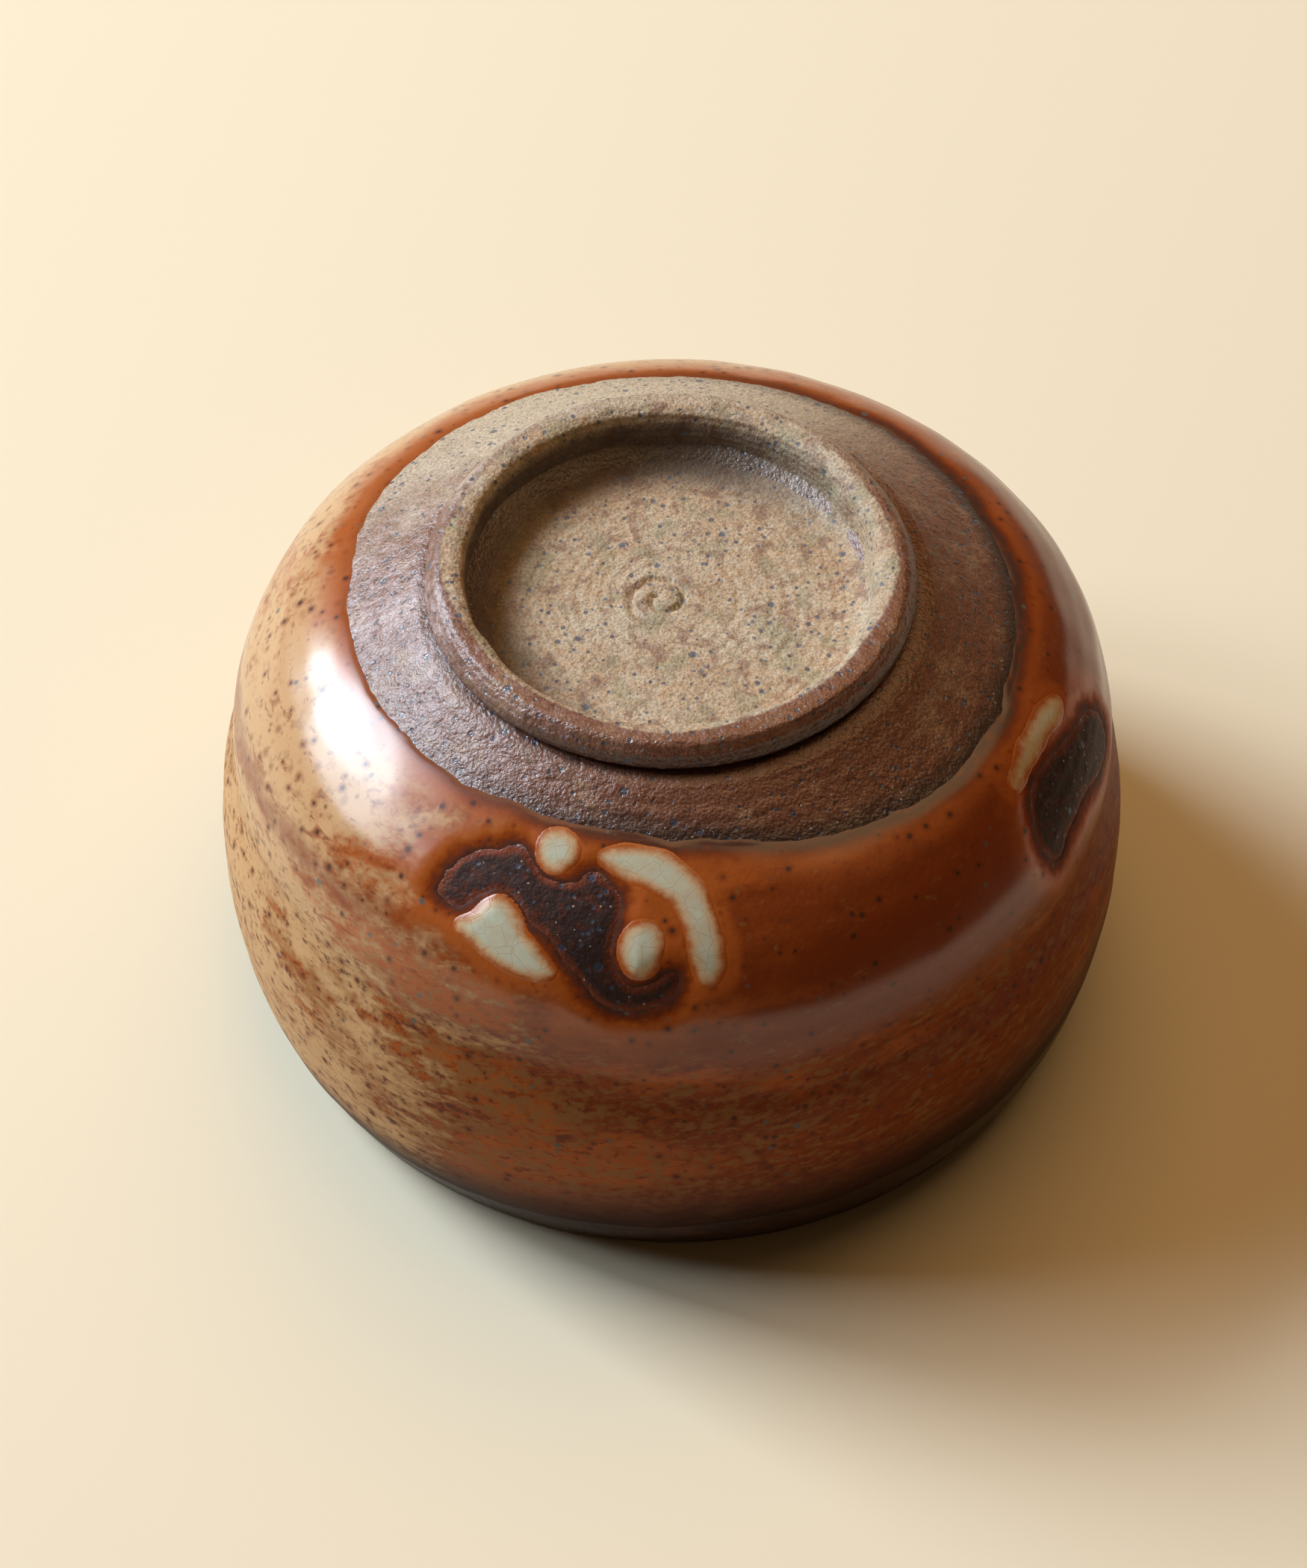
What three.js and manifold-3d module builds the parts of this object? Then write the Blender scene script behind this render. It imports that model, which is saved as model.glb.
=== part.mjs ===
// Matcha bowl: a wheel-thrown stoneware tea bowl, turned over on its lip so that its foot ring is up.
// Millimetres. Z is the bowl's axis, z = 0 is the surface it rests on, and -Y is its front.
// A bearing is an angle about the axis: 0 is the front and it grows towards +X.
import * as THREE from 'three';
import { mergeVertices } from 'three/addons/utils/BufferGeometryUtils.js';
import Module from 'manifold-3d';

const wasm = await Module();
wasm.setup();

// Clay body.
const BODY_HEIGHT = 66.9; // from the surface it rests on to the seat of the foot ring
const MOUTH_RADIUS = 54.4; // outside of the lip
const BELLY_RADIUS = 58.6; // the widest place
const WAIST_DEPTH = 3.7; // how far the waist is drawn in from the belly
const LIP_THICKNESS = 4.0;
const LIP_ROUNDING = 1.4;
const WALL_THICKNESS = 5.4;
const FLOOR_THICKNESS = 5.4;
const SEAT_MARGIN = 0.8; // how far the seat runs out past the foot ring
const WELL_RECESS = 2.2; // the floor of the foot well below the seat

// Foot ring.
const FOOT_HEIGHT = 4.4; // from its root to the tread
const FOOT_RADIUS = 30.0; // outer edge of the tread, before its edge is softened
const FOOT_FLARE = 1.0; // how far the root stands out past the tread
const TREAD_WIDTH = 3.8;
const FOOT_EDGE_ROUNDING = 0.9;
const FOOT_ROOT_WIDTH = 7.6;
const FOOT_SHIFT = -0.6; // the ring is set this far off the axis, along X

// Glaze.
const GLAZE_THICKNESS = 0.8;
const POOL_THICKNESS = 1.2; // where the glaze gathered into pools and drops
const SEAM = 0.3; // between each coat and what lies under or beside it
const INNER_LIP_BAND = 9.0; // how far the iron band runs down the inside of the lip

// Finger marks, where the glaze was kept off the clay. Places in a mark run along the bearing
// (to the right) and along the wall (towards the foot), from the mark's own centre.
const FRONT_MARK_BEARING = -13;
const FRONT_MARK_FROM_FOOT = 18.8; // along the wall from the seat's edge
const SIDE_MARK_BEARING = 71;
const SIDE_MARK_FROM_FOOT = 28.5;
const MARK_CUT_IN = 8;
const MARK_CUT_OUT = 4;

const COAT = SEAM + GLAZE_THICKNESS;
const SIDES = 40;
const FINE = 80;

const clay = new THREE.MeshStandardMaterial({ color: 0x6e4a3a, roughness: 0.75, metalness: 0 });
const wellClay = new THREE.MeshStandardMaterial({ color: 0x8a6646, roughness: 0.85, metalness: 0 });
const redGlaze = new THREE.MeshStandardMaterial({ color: 0xa4562c, roughness: 0.3, metalness: 0 });
const insideGlaze = new THREE.MeshStandardMaterial({ color: 0xb5784c, roughness: 0.28, metalness: 0 });
const ironGlaze = new THREE.MeshStandardMaterial({ color: 0x2e1a12, roughness: 0.4, metalness: 0 });
const paleGlaze = new THREE.MeshStandardMaterial({ color: 0xc9b99a, roughness: 0.2, metalness: 0 });

const radians = THREE.MathUtils.degToRad;

// ---- The meridian: one line over the clay, from the inside floor round the lip to the foot's seat ----

function curveThrough(pairs) {
  return new THREE.CatmullRomCurve3(pairs.map(([r, z]) => new THREE.Vector3(r, z, 0)));
}

function seatRadius() {
  return FOOT_RADIUS + FOOT_FLARE + Math.abs(FOOT_SHIFT) + SEAT_MARGIN;
}

// The outside wall, from the lip up to the seat of the foot ring.
function outerWall() {
  const rise = BODY_HEIGHT - COAT;
  const level = (share) => COAT + share * rise;
  const waist = BELLY_RADIUS - WAIST_DEPTH;
  const crown = (share) => seatRadius() + share * (waist - seatRadius());
  return curveThrough([
    [MOUTH_RADIUS, COAT + LIP_ROUNDING],
    [MOUTH_RADIUS + 0.6 * (BELLY_RADIUS - MOUTH_RADIUS), level(0.11)],
    [BELLY_RADIUS, level(0.29)],
    [BELLY_RADIUS - 0.2 * WAIST_DEPTH, level(0.46)],
    [waist + 0.1, level(0.56)],
    [waist, level(0.65)],
    [crown(0.95), level(0.74)],
    [crown(0.76), level(0.83)],
    [crown(0.28), level(0.935)],
    [seatRadius(), level(0.995)],
  ]);
}

// The inside wall keeps the wall's thickness behind the outside one, then turns into the floor.
function innerWall(outer) {
  const floor = BODY_HEIGHT - WELL_RECESS - FLOOR_THICKNESS;
  const pairs = [[MOUTH_RADIUS - LIP_THICKNESS, COAT + LIP_ROUNDING]];
  for (const share of [0.14, 0.27, 0.4, 0.53, 0.64, 0.74]) {
    const point = outer.getPointAt(share);
    const along = outer.getTangentAt(share);
    pairs.push([point.x - WALL_THICKNESS * along.y, point.y + WALL_THICKNESS * along.x]);
  }
  const corner = pairs.at(-1);
  pairs.push([corner[0] * 0.8, corner[1] + 0.66 * (floor - corner[1])]);
  pairs.push([corner[0] * 0.45, floor - 0.4]);
  pairs.push([0, floor]);
  return curveThrough(pairs);
}

function wallStations(curve, backwards) {
  const stations = [];
  for (let i = 0; i <= FINE; i++) {
    const share = backwards ? 1 - i / FINE : i / FINE;
    const point = curve.getPointAt(share);
    const along = curve.getTangentAt(share).multiplyScalar(backwards ? -1 : 1);
    stations.push({ r: point.x, z: point.y, nr: along.y, nz: -along.x });
  }
  return stations;
}

// The lip's section: a narrow flat to rest on, with a rounded edge on each side.
function lipStations() {
  const stations = [];
  const centreZ = COAT + LIP_ROUNDING;
  const centres = [MOUTH_RADIUS - LIP_THICKNESS + LIP_ROUNDING, MOUTH_RADIUS - LIP_ROUNDING];
  centres.forEach((centreR, side) => {
    for (let step = side === 0 ? 1 : 0; step <= 2 - side; step++) {
      const turn = radians(180 + 90 * side + 45 * step);
      const [nr, nz] = [Math.cos(turn), Math.sin(turn)];
      stations.push({ r: centreR + LIP_ROUNDING * nr, z: centreZ + LIP_ROUNDING * nz, nr, nz });
    }
  });
  return stations;
}

function measured(stations) {
  let s = 0;
  stations.forEach((station, i) => {
    const before = stations[Math.max(i - 1, 0)];
    s += Math.hypot(station.r - before.r, station.z - before.z);
    station.s = s;
  });
  return stations;
}

const outside = outerWall();
const inside = innerWall(outside);
const lip = lipStations();
const meridian = measured([...wallStations(inside, true), ...lip, ...wallStations(outside, false)]);
const LIP_INSIDE = meridian[FINE].s;
const LIP_OUTSIDE = meridian[FINE + 1 + lip.length].s;
const MERIDIAN_END = meridian.at(-1).s;

// A place on the meridian, at distance s from the middle of the inside floor, lifted off the clay.
function placeAt(s, lift) {
  let i = meridian.findIndex((station) => station.s >= s);
  i = i < 0 ? meridian.length - 1 : Math.max(i, 1);
  const [a, b] = [meridian[i - 1], meridian[i]];
  const t = (s - a.s) / (b.s - a.s);
  const mix = (key) => a[key] + t * (b[key] - a[key]);
  const size = Math.hypot(mix('nr'), mix('nz'));
  return { r: mix('r') + (lift * mix('nr')) / size, z: mix('z') + (lift * mix('nz')) / size };
}

function spread(from, to, steps) {
  return Array.from({ length: steps + 1 }, (_, i) => from + ((to - from) * i) / steps);
}

// Rows that the body shares with its coats, so that their facets lie parallel.
const FLOOR_ROW = spread(0, LIP_INSIDE - INNER_LIP_BAND, 13);
const INNER_LIP_ROW = spread(LIP_INSIDE - INNER_LIP_BAND, LIP_INSIDE, 2);

// ---- Edges of the coats, as distances along the meridian ----

// The iron band was dipped at a slant, so it is deeper on the right.
function ironBandEdge(bearing) {
  const b = radians(bearing);
  return LIP_OUTSIDE + 7.0 - 4.6 * Math.cos(b + radians(95)) + 0.8 * Math.cos(3 * b);
}

// The glaze stops short of the foot in a wavy line. The clay above it is bare.
function glazeLine(bearing) {
  const b = radians(bearing);
  const bare = 11.3 - 3.4 * Math.cos(b + radians(19)) + 1.5 * Math.cos(2 * b - radians(130))
    - 0.5 * Math.cos(4 * b + radians(9));
  return MERIDIAN_END - bare;
}

// ---- Solids ----

function lathe(pairs) {
  const geometry = new THREE.LatheGeometry(pairs.map(([r, z]) => new THREE.Vector2(r, z)), SIDES);
  return geometry.rotateX(Math.PI / 2);
}

// A coat whose edges wander: each bearing has its own row of distances along the meridian.
function coat(rowAt, low, high) {
  const positions = [];
  const index = [];
  let count = 0;
  for (let i = 0; i < SIDES; i++) {
    const bearing = (360 * i) / SIDES;
    const row = rowAt(bearing);
    const section = [...row.map((s) => placeAt(s, high)), ...row.toReversed().map((s) => placeAt(s, low))];
    count = section.length;
    const b = radians(bearing);
    section.forEach(({ r, z }) => positions.push(r * Math.sin(b), -r * Math.cos(b), z));
  }
  for (let i = 0; i < SIDES; i++) {
    for (let j = 0; j < count; j++) {
      const next = (i + 1) % SIDES;
      const up = (j + 1) % count;
      const [a, b, c, d] = [i * count + j, next * count + j, next * count + up, i * count + up];
      index.push(a, b, c, a, c, d);
    }
  }
  const geometry = new THREE.BufferGeometry();
  geometry.setAttribute('position', new THREE.Float32BufferAttribute(positions, 3));
  geometry.setIndex(index);
  return geometry;
}

function toSolid(geometry) {
  const bare = geometry.clone();
  bare.deleteAttribute('normal');
  bare.deleteAttribute('uv');
  const merged = mergeVertices(bare, 1e-4);
  const vertProperties = new Float32Array(merged.attributes.position.array);
  const triVerts = new Uint32Array(merged.index.array);
  return new wasm.Manifold(new wasm.Mesh({ numProp: 3, vertProperties, triVerts }));
}

function toGeometry(solid) {
  const mesh = solid.getMesh();
  const geometry = new THREE.BufferGeometry();
  geometry.setAttribute('position', new THREE.BufferAttribute(new Float32Array(mesh.vertProperties), 3));
  geometry.setIndex(new THREE.BufferAttribute(new Uint32Array(mesh.triVerts), 1));
  return geometry;
}

// ---- Outlines of the finger marks and of the glaze that gathered round them ----

function smoothOutline(pairs, steps) {
  const curve = new THREE.CatmullRomCurve3(pairs.map(([x, y]) => new THREE.Vector3(x, y, 0)), true);
  const points = curve.getSpacedPoints(steps).slice(0, -1).map((p) => new THREE.Vector2(p.x, p.y));
  return THREE.ShapeUtils.isClockWise(points) ? points.reverse() : points;
}

function oval(x, y, acrossRadius, alongRadius) {
  return new THREE.EllipseCurve(x, y, acrossRadius, alongRadius).getPoints(14).slice(0, -1);
}

function grown(points, by) {
  return points.map((point, i) => {
    const before = points.at(i - 1);
    const after = points[(i + 1) % points.length];
    const along = after.clone().sub(before).normalize();
    return new THREE.Vector2(point.x + by * along.y, point.y - by * along.x);
  });
}

const frontWindow = smoothOutline([
  [-18.4, 1.3], [-17.4, 4.8], [-14.6, 7.2], [-11.5, 8.0], [-9.5, 8.8], [-7.7, 7.3], [-4.5, 5.6], [-2.1, 5.5],
  [0.6, 7.2], [3.4, 6.0], [4.5, 4.0], [4.6, 0.5], [4.9, -2.8], [7.0, -5.2], [9.2, -4.9], [11.6, -2.9],
  [12.9, -2.9], [13.4, -4.6], [12.0, -7.0], [8.8, -8.5], [4.8, -8.7], [1.6, -6.8], [-1.1, -3.9], [-3.6, -1.4],
  [-6.4, -0.2], [-8.5, 2.1], [-10.8, 3.2], [-12.8, 1.9], [-15.6, -0.2],
], 44);
const crescent = smoothOutline([
  [1.2, 9.2], [2.6, 10.5], [5.2, 11.1], [8.0, 10.9], [10.9, 9.6], [13.0, 8.0], [15.0, 5.4], [16.6, 2.4],
  [17.6, -0.6], [17.1, -2.8], [15.6, -2.7], [14.7, -1.0], [13.8, 1.6], [12.6, 3.9], [10.6, 5.9], [7.9, 7.0],
  [4.4, 7.9],
], 28);
const leftPool = smoothOutline([
  [-15.0, -2.3], [-13.4, -1.0], [-12.0, 0.5], [-10.4, 1.6], [-8.9, 0.8], [-7.9, -0.4], [-5.4, -2.8],
  [-3.2, -4.6], [-2.4, -5.8], [-4.2, -6.4], [-7.6, -6.1], [-9.8, -5.2], [-12.2, -3.8],
], 22);
const upperDrop = oval(-4.6, 9.1, 2.2, 2.1);
const roundDrop = oval(8.0, -0.8, 2.2, 3.0);
const sideWindow = smoothOutline([
  [12.5, -3.4], [12.8, 1.6], [9.6, 4.4], [6.0, 5.3], [2.0, 6.5], [-2.0, 7.6], [-5.7, 8.0], [-8.4, 6.9],
  [-10.6, 4.8], [-11.8, 1.4], [-10.6, -1.9], [-8.6, -2.8], [-5.4, -1.4], [-1.2, -1.4], [3.0, -2.2], [8.0, -4.0],
], 28);
const sideRun = smoothOutline([
  [6.8, 9.2], [4.4, 10.6], [1.2, 11.0], [-1.9, 11.0], [-4.9, 10.9], [-7.9, 10.5], [-8.8, 9.8], [-7.6, 9.4],
  [-4.9, 9.6], [-1.9, 9.6], [1.2, 9.4], [4.4, 8.8],
], 24);

// Where a mark lies: its centre on the glaze, with x to the right, y towards the foot and z out of the wall.
function markFrame(bearing, fromFoot) {
  const s = MERIDIAN_END - fromFoot;
  const [here, ahead] = [placeAt(s, COAT), placeAt(s + 0.5, COAT)];
  const rise = Math.atan2(ahead.z - here.z, ahead.r - here.r);
  const b = radians(bearing);
  const across = new THREE.Vector3(Math.cos(b), Math.sin(b), 0);
  const along = new THREE.Vector3(Math.cos(rise) * Math.sin(b), -Math.cos(rise) * Math.cos(b), Math.sin(rise));
  const frame = new THREE.Matrix4().makeBasis(across, along, across.clone().cross(along));
  return frame.setPosition(here.r * Math.sin(b), -here.r * Math.cos(b), here.z);
}

function cutterFor(points, frame) {
  const shape = new THREE.Shape(points);
  const geometry = new THREE.ExtrudeGeometry(shape, { depth: MARK_CUT_IN + MARK_CUT_OUT, bevelEnabled: false });
  return toSolid(geometry.translate(0, 0, -MARK_CUT_IN).applyMatrix4(frame));
}

const frontFrame = markFrame(FRONT_MARK_BEARING, FRONT_MARK_FROM_FOOT);
const sideFrame = markFrame(SIDE_MARK_BEARING, SIDE_MARK_FROM_FOOT);
const windows = [[frontWindow, frontFrame], [sideWindow, sideFrame]];
const pools = {
  crescent_glaze_pool: [crescent, frontFrame],
  upper_glaze_drop: [upperDrop, frontFrame],
  round_glaze_drop: [roundDrop, frontFrame],
  left_glaze_pool: [leftPool, frontFrame],
  side_glaze_run: [sideRun, sideFrame],
};

// ---- The pieces ----

// The thrown and trimmed shell, from the middle of the inside floor round the lip to the foot well.
function bowlBody() {
  const onClay = (s) => placeAt(s, 0);
  const line = [
    ...FLOOR_ROW.map(onClay),
    ...INNER_LIP_ROW.slice(1).map(onClay),
    ...lip,
    ...spread(LIP_OUTSIDE, MERIDIAN_END, 22).map(onClay),
  ];
  const pairs = line.map(({ r, z }) => [Math.max(r, 0), z]);
  const wellEdge = FOOT_RADIUS + FOOT_FLARE - FOOT_ROOT_WIDTH - Math.abs(FOOT_SHIFT);
  pairs[0][0] = 0;
  pairs.push([seatRadius() - SEAT_MARGIN / 2, BODY_HEIGHT]);
  pairs.push([wellEdge, BODY_HEIGHT]);
  pairs.push([wellEdge - 0.4 * WELL_RECESS, BODY_HEIGHT - WELL_RECESS]);
  pairs.push([0, BODY_HEIGHT - WELL_RECESS]);
  return lathe(pairs);
}

// The foot ring, luted onto its seat a little off centre, with a flat tread and a splayed inside.
function footRing() {
  const tread = FOOT_HEIGHT - SEAM;
  const inner = FOOT_RADIUS - TREAD_WIDTH;
  const root = FOOT_RADIUS + FOOT_FLARE;
  const soft = FOOT_EDGE_ROUNDING;
  const innerRoot = root - FOOT_ROOT_WIDTH;
  const section = [
    [root - 0.4, 0],
    [root, 0.3 * tread],
    [root - 0.3 * FOOT_FLARE, 0.6 * tread],
    [FOOT_RADIUS, tread - soft],
    [FOOT_RADIUS - 0.3 * soft, tread - 0.3 * soft],
    [FOOT_RADIUS - soft, tread],
    [inner + soft, tread],
    [inner + 0.3 * soft, tread - 0.3 * soft],
    [inner, tread - soft],
    [inner + 0.55 * (innerRoot - inner), 0.4 * tread],
    [innerRoot, 0],
  ];
  section.push(section[0]);
  return lathe(section);
}

// The lining, from the middle of the floor down to the iron band.
function innerGlaze() {
  const row = [...FLOOR_ROW.slice(0, -1), FLOOR_ROW.at(-1) - SEAM];
  const skin = [...row.map((s) => placeAt(s, SEAM)), ...row.toReversed().map((s) => placeAt(s, COAT))];
  const pairs = skin.map(({ r, z }) => [Math.max(r, 0), z]);
  pairs[0][0] = 0;
  pairs.at(-1)[0] = 0;
  return lathe(pairs.reverse());
}

// The iron band over the lip, inside and out.
function lipGlaze() {
  const rim = lip.map((station) => station.s);
  const row = (bearing) => [
    ...INNER_LIP_ROW,
    ...rim,
    ...spread(LIP_OUTSIDE, ironBandEdge(bearing), 4),
  ];
  return coat(row, SEAM, COAT);
}

// The red glaze on the outside, with a window at each finger mark and a bed for each pool.
function outerGlaze() {
  const row = (bearing) => spread(ironBandEdge(bearing) + SEAM, glazeLine(bearing), 20);
  let solid = toSolid(coat(row, SEAM, COAT));
  for (const [points, frame] of [...windows, ...Object.values(pools)]) {
    solid = solid.subtract(cutterFor(grown(points, SEAM), frame));
  }
  return toGeometry(solid);
}

// A pool or drop of pale glaze, thicker than the coat round it.
function glazePool(points, frame) {
  const row = (bearing) => spread(ironBandEdge(bearing) + SEAM, MERIDIAN_END - SEAM, 24);
  return toGeometry(toSolid(coat(row, SEAM, SEAM + POOL_THICKNESS)).intersect(cutterFor(points, frame)));
}

function piece(name, geometry, material) {
  const mesh = new THREE.Mesh(geometry, material);
  mesh.name = name;
  return mesh;
}

const bowl = new THREE.Group();
const foot = piece('foot_ring', footRing(), wellClay);
foot.position.set(FOOT_SHIFT, 0, BODY_HEIGHT + SEAM);
bowl.add(piece('bowl_body', bowlBody(), clay), foot);
bowl.add(piece('outer_glaze', outerGlaze(), redGlaze));
bowl.add(piece('inner_glaze', innerGlaze(), insideGlaze));
bowl.add(piece('lip_glaze', lipGlaze(), ironGlaze));
for (const [name, [points, frame]] of Object.entries(pools)) {
  bowl.add(piece(name, glazePool(points, frame), paleGlaze));
}

export default bowl;
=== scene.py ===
import math

import bpy
import numpy as np
from mathutils import Matrix, Vector


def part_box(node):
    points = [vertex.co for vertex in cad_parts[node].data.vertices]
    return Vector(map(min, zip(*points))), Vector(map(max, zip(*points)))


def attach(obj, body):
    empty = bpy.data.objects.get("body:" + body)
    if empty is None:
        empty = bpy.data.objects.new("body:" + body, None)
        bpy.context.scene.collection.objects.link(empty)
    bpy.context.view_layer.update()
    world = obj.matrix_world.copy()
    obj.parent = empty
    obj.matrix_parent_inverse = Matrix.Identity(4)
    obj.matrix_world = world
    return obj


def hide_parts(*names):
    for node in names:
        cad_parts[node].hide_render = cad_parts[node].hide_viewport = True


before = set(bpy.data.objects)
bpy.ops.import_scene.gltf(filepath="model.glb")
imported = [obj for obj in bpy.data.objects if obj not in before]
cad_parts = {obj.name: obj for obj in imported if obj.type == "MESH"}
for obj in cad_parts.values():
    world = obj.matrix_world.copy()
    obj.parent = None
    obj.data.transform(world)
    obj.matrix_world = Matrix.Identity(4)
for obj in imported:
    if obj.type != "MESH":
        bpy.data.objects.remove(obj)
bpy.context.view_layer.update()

bl_info = {
    "name": "Matcha bowl",
    "version": (1, 0, 0),
    "blender": (4, 5, 0),
    "location": "3D View > Sidebar > Matcha bowl",
    "description": "Builds the clay and the glazes of a wheel-thrown tea bowl around its packed model",
    "category": "Add Mesh",
}

MM = 0.001
SEAM = 0.3 * MM  # the gap the CAD keeps under each coat; the fired glaze has none
COAT = 0.8 * MM  # how thick the glaze is
BODY = "root"


# ---------------------------------------------------------------- user settings


def size(name, description, default):
    return bpy.props.FloatProperty(
        name=name, description=description, default=default, unit="LENGTH", precision=5)


def angle(name, description, degrees):
    return bpy.props.FloatProperty(
        name=name, description=description, default=math.radians(degrees), subtype="ANGLE")


def power(name, description, default):
    return bpy.props.FloatProperty(name=name, description=description, default=default, min=0)


def colour(name, description, default):
    return bpy.props.FloatVectorProperty(
        name=name, description=description, default=default, subtype="COLOR", size=3, min=0, max=1)


class BOWL_PG_clay(bpy.types.PropertyGroup):
    """The clay's surface and colours."""

    brown: colour("Brown clay", "Fired skin of the bare clay round the foot", (0.215, 0.074, 0.035))
    # This dark is also used below for painted shade in the foot well's back left corner and at the foot
    # ring's front root.
    dark: colour("Dark clay", "Smoked clay in the finger marks and by the glaze", (0.034, 0.013, 0.009))
    # Painted sheen: a pale lilac that stands in for the window light's sheen on the brown clay at the left.
    painted_sheen: colour("Lilac sheen", "Painted window sheen on the brown clay at the left", (0.540, 0.395, 0.390))
    ochre: colour("Ochre clay", "Clay inside the foot", (0.540, 0.355, 0.200))
    olive: colour("Olive", "Grey-green ash in the foot well", (0.350, 0.300, 0.165))
    # Towards the back left this colour also stands in part for painted light.
    sand: colour("Sandy clay", "Paler clay inside the foot and at the back", (0.610, 0.495, 0.345))
    iron: colour("Iron specks", "Blue-black iron specks in the clay", (0.055, 0.070, 0.105))
    grain: size("Grain", "Height of the sand grains in the bare clay", 0.09 * MM)
    turning: size("Turning lines", "Depth of the lines that the trimming tool left", 0.05 * MM)
    mark_depth: size("Spiral depth", "Depth of the plain spiral in the foot well", 0.70 * MM)
    mark_radius: size("Spiral radius", "Size of the plain spiral in the foot well", 4.6 * MM)


class BOWL_PG_glaze(bpy.types.PropertyGroup):
    """The glazes' surface and colours."""

    cream: colour("Cream", "Where the feldspar glaze is thick", (0.580, 0.340, 0.160))
    tan: colour("Tan", "Where the glaze is mottled lower down", (0.250, 0.105, 0.032))
    orange: colour("Orange", "Where the glaze is thinner", (0.380, 0.085, 0.012))
    rust: colour("Rust", "Where the glaze breaks over edges", (0.195, 0.033, 0.005))
    umber: colour("Umber", "Dark edge of the glaze against bare clay", (0.075, 0.026, 0.016))
    speck: colour("Specks", "Iron specks under the glaze", (0.055, 0.022, 0.012))
    slate: colour("Slate specks", "Metallic specks on the glaze", (0.105, 0.110, 0.095))
    pool: colour("Pale pool", "Thick pale glaze round the finger marks", (0.530, 0.550, 0.420))
    lip: colour("Iron lip", "Iron glaze on the lip", (0.028, 0.011, 0.006))
    throwing: size("Throwing rings", "Height of the rings that the fingers left in the wall", 0.09 * MM)
    ripple: size("Ripple", "Unevenness of the glaze's surface", 0.10 * MM)
    rise: size("Pool rise", "How far the pale pools stand above the coat", 0.09 * MM)


class BOWL_PG_stage(bpy.types.PropertyGroup):
    """The camera, the floor and the light."""

    reach: size("Reach", "How far in front of the bowl's axis the camera stands", 0.3677)
    height: size("Height", "How high the camera stands", 0.4748)
    pitch: angle("Pitch", "How far the camera looks down", 50.58)
    yaw: angle("Yaw", "How far the camera turns to its left", 0.38)
    roll: angle("Roll", "How far the camera leans", 0.66)
    lens: bpy.props.FloatProperty(name="Lens", description="Focal length in millimetres", default=100.13)
    floor: colour("Floor", "Pale floor", (0.885, 0.780, 0.580))
    daylight: colour("Daylight", "Colour of the window light", (0.76, 0.88, 1.0))
    bounce: colour("Bounce", "Colour of the light that comes back from the room", (1.0, 0.60, 0.27))
    key: power("Window light", "Power of the main light", 61.0)
    side: power("Side light", "Power of the second light", 14.0)
    ceiling: power("Ceiling", "Power of the light from above", 10.0)
    fill: power("Fill", "Strength of the light from all round", 0.045)


# ---------------------------------------------------------------- noise and lines


def lattice_noise(points, cell, seed):
    """Smooth noise from -1 to 1 at points, with features about one cell across."""
    table = np.random.RandomState(seed).uniform(-1, 1, 4096)
    at = points / cell
    low = np.floor(at).astype(np.int64)
    t = at - low
    t = t * t * (3 - 2 * t)
    total = np.zeros(len(points))
    for corner in range(8):
        step = np.array([corner & 1, corner >> 1 & 1, corner >> 2 & 1])
        weight = np.prod(np.where(step, t, 1 - t), axis=1)
        ids = (low + step) * np.array([73856093, 19349663, 83492791])
        total += weight * table[(ids[:, 0] ^ ids[:, 1] ^ ids[:, 2]) & 4095]
    return total


def smoothstep(x, low, high):
    t = np.clip((x - low) / (high - low), 0, 1)
    return t * t * (3 - 2 * t)


def through(points, count):
    """count points evenly spaced on a smooth line through the given ones."""
    points = np.asarray(points, float)
    steps = np.hypot(*np.diff(points, axis=0).T)
    at = np.r_[0, np.cumsum(steps)]
    chord = np.diff(points, axis=0) / steps[:, None]
    slope = np.empty_like(points)
    slope[0], slope[-1] = chord[0], chord[-1]
    weight = (steps[:-1] / (steps[:-1] + steps[1:]))[:, None]
    slope[1:-1] = (1 - weight) * chord[:-1] + weight * chord[1:]
    where = np.linspace(0, at[-1], count)
    i = np.clip(np.searchsorted(at, where) - 1, 0, len(steps) - 1)
    t = ((where - at[i]) / steps[i])[:, None]
    width = steps[i][:, None]
    return (points[i] * (1 + 2 * t) * (1 - t) ** 2 + slope[i] * width * t * (1 - t) ** 2
            + points[i + 1] * t * t * (3 - 2 * t) + slope[i + 1] * width * t * t * (t - 1))


def closed_outline(points, steps=8):
    """A smooth closed line through points given in millimetres, in metres."""
    here = np.array(points, float) * MM
    before, after, later = (np.roll(here, turn, axis=0) for turn in (1, -1, -2))
    t = (np.arange(steps) / steps)[:, None, None]
    line = (2 * here + (after - before) * t + (2 * before - 5 * here + 4 * after - later) * t ** 2
            + (3 * here - before - 3 * after + later) * t ** 3) / 2
    return line.transpose(1, 0, 2).reshape(-1, 2)


def oval(x, y, across, along):
    turn = np.linspace(0, 2 * np.pi, 80)
    return np.stack([x + across * np.cos(turn), y + along * np.sin(turn)], 1) * MM


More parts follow.
